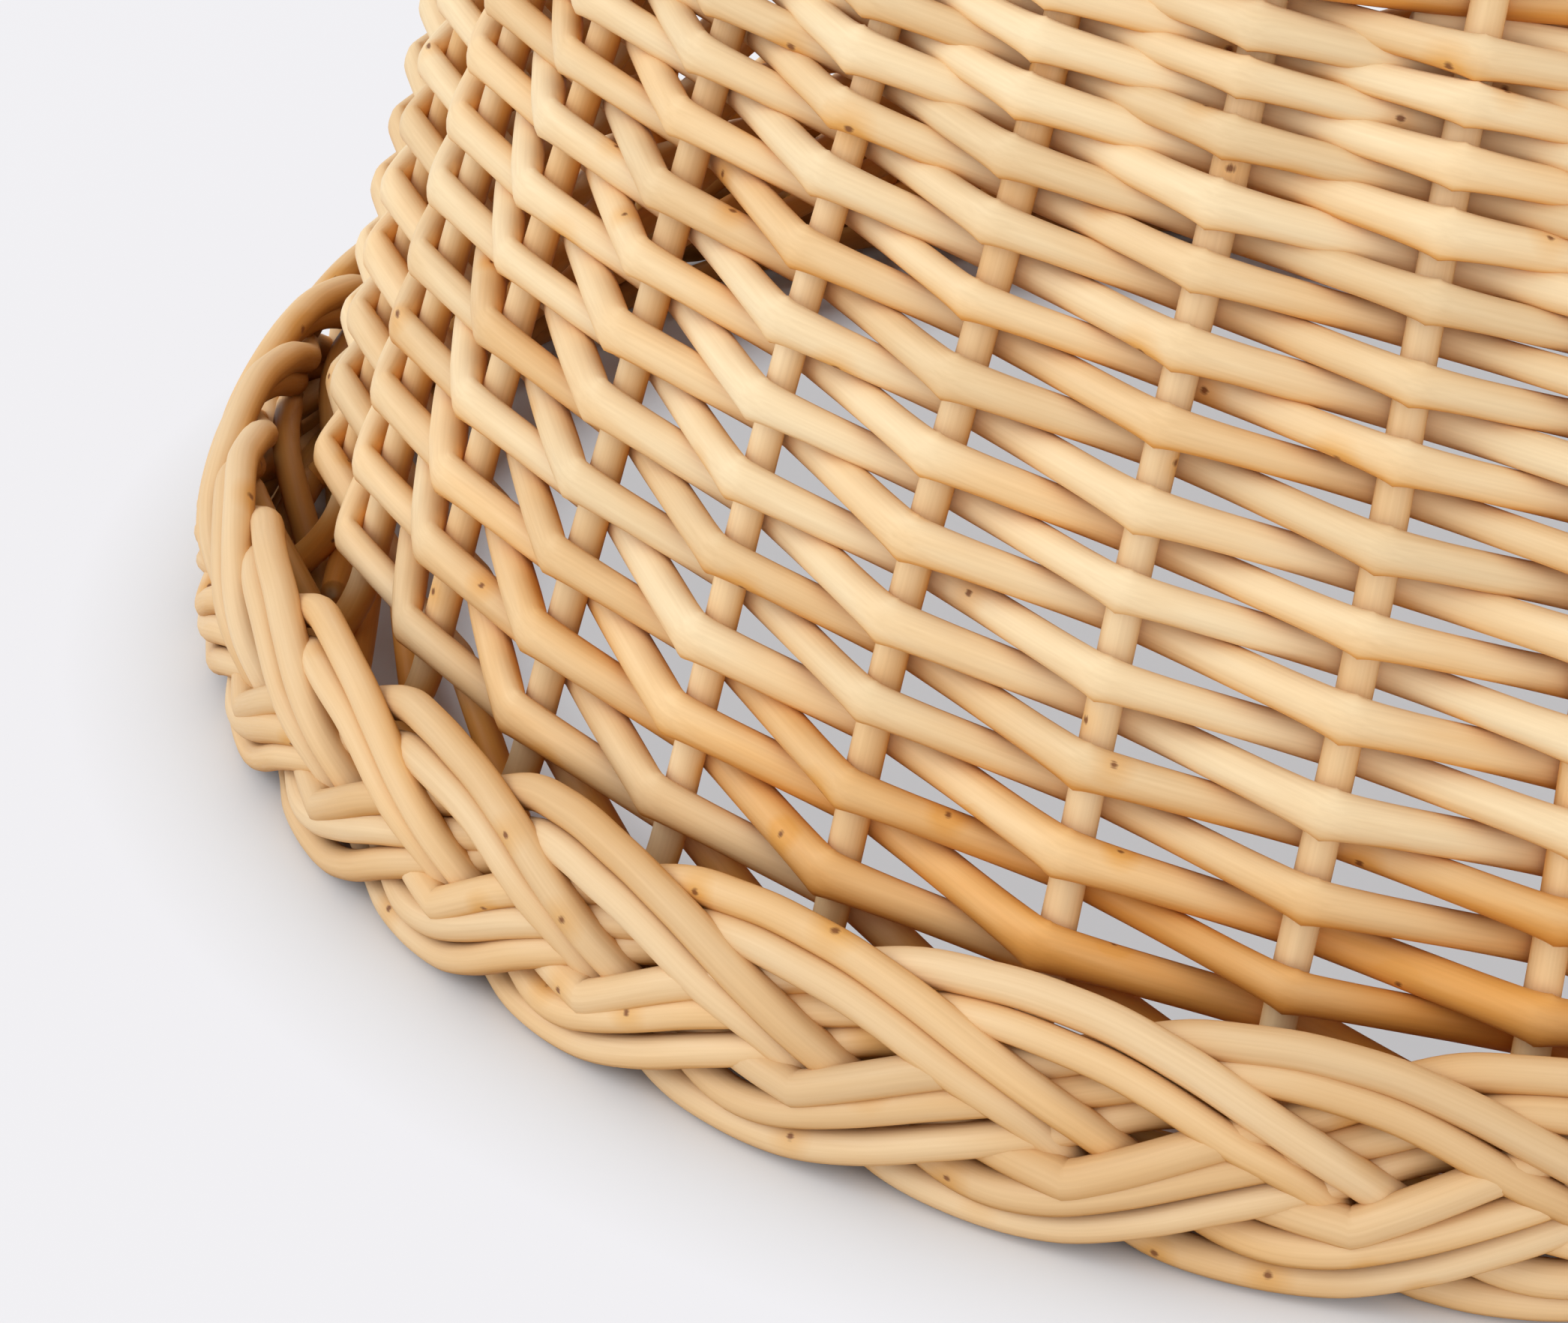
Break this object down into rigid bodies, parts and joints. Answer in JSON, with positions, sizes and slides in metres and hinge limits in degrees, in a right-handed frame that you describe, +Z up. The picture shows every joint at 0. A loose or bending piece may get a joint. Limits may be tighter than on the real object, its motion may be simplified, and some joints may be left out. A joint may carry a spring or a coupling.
{
  "type": "wicker cloche",
  "caption": "Bell-shaped cover of woven peeled willow with slanting randed walls, a woven crown, a lifting ring on top and a plaited border that it stands on.",
  "frame": {"origin": "on the floor, at the middle of the plaited border that the cloche stands on", "axes": "+Z up along the middle line of the bell; +X and +Y level, with -Y towards the pictured side"},
  "size_m": [0.3702, 0.3702, 0.2376],
  "materials": {
    "stake_willow": "satin peeled willow",
    "weaver_willow": "satin peeled willow",
    "border_willow": "satin peeled willow",
    "crown_willow": "satin peeled willow"
  },
  "bodies": {
    "root": {"stake_1": "stake_willow", "stake_2": "stake_willow", "stake_3": "stake_willow", "stake_4": "stake_willow", "stake_5": "stake_willow", "stake_6": "stake_willow", "stake_7": "stake_willow", "stake_8": "stake_willow", "stake_9": "stake_willow", "stake_10": "stake_willow", "stake_11": "stake_willow", "stake_12": "stake_willow", "stake_13": "stake_willow", "stake_14": "stake_willow", "stake_15": "stake_willow", "stake_16": "stake_willow", "stake_17": "stake_willow", "stake_18": "stake_willow", "stake_19": "stake_willow", "stake_20": "stake_willow", "stake_21": "stake_willow", "stake_22": "stake_willow", "stake_23": "stake_willow", "stake_24": "stake_willow", "stake_25": "stake_willow", "stake_26": "stake_willow", "stake_27": "stake_willow", "stake_28": "stake_willow", "stake_29": "stake_willow", "stake_30": "stake_willow", "stake_31": "stake_willow", "stake_32": "stake_willow", "stake_33": "stake_willow", "stake_34": "stake_willow", "stake_35": "stake_willow", "stake_36": "stake_willow", "weaver_1": "weaver_willow", "weaver_2": "weaver_willow", "weaver_3": "weaver_willow", "weaver_4": "weaver_willow", "weaver_5": "weaver_willow", "weaver_6": "weaver_willow", "weaver_7": "weaver_willow", "weaver_8": "weaver_willow", "weaver_9": "weaver_willow", "weaver_10": "weaver_willow", "weaver_11": "weaver_willow", "weaver_12": "weaver_willow", "weaver_13": "weaver_willow", "weaver_14": "weaver_willow", "weaver_15": "weaver_willow", "weaver_16": "weaver_willow", "weaver_17": "weaver_willow", "weaver_18": "weaver_willow", "border_strand_1": "border_willow", "border_strand_2": "border_willow", "border_strand_3": "border_willow", "lifting_ring": "border_willow", "crown_sticks": "crown_willow", "crown_weave": "crown_willow"}
  },
  "joints": []
}
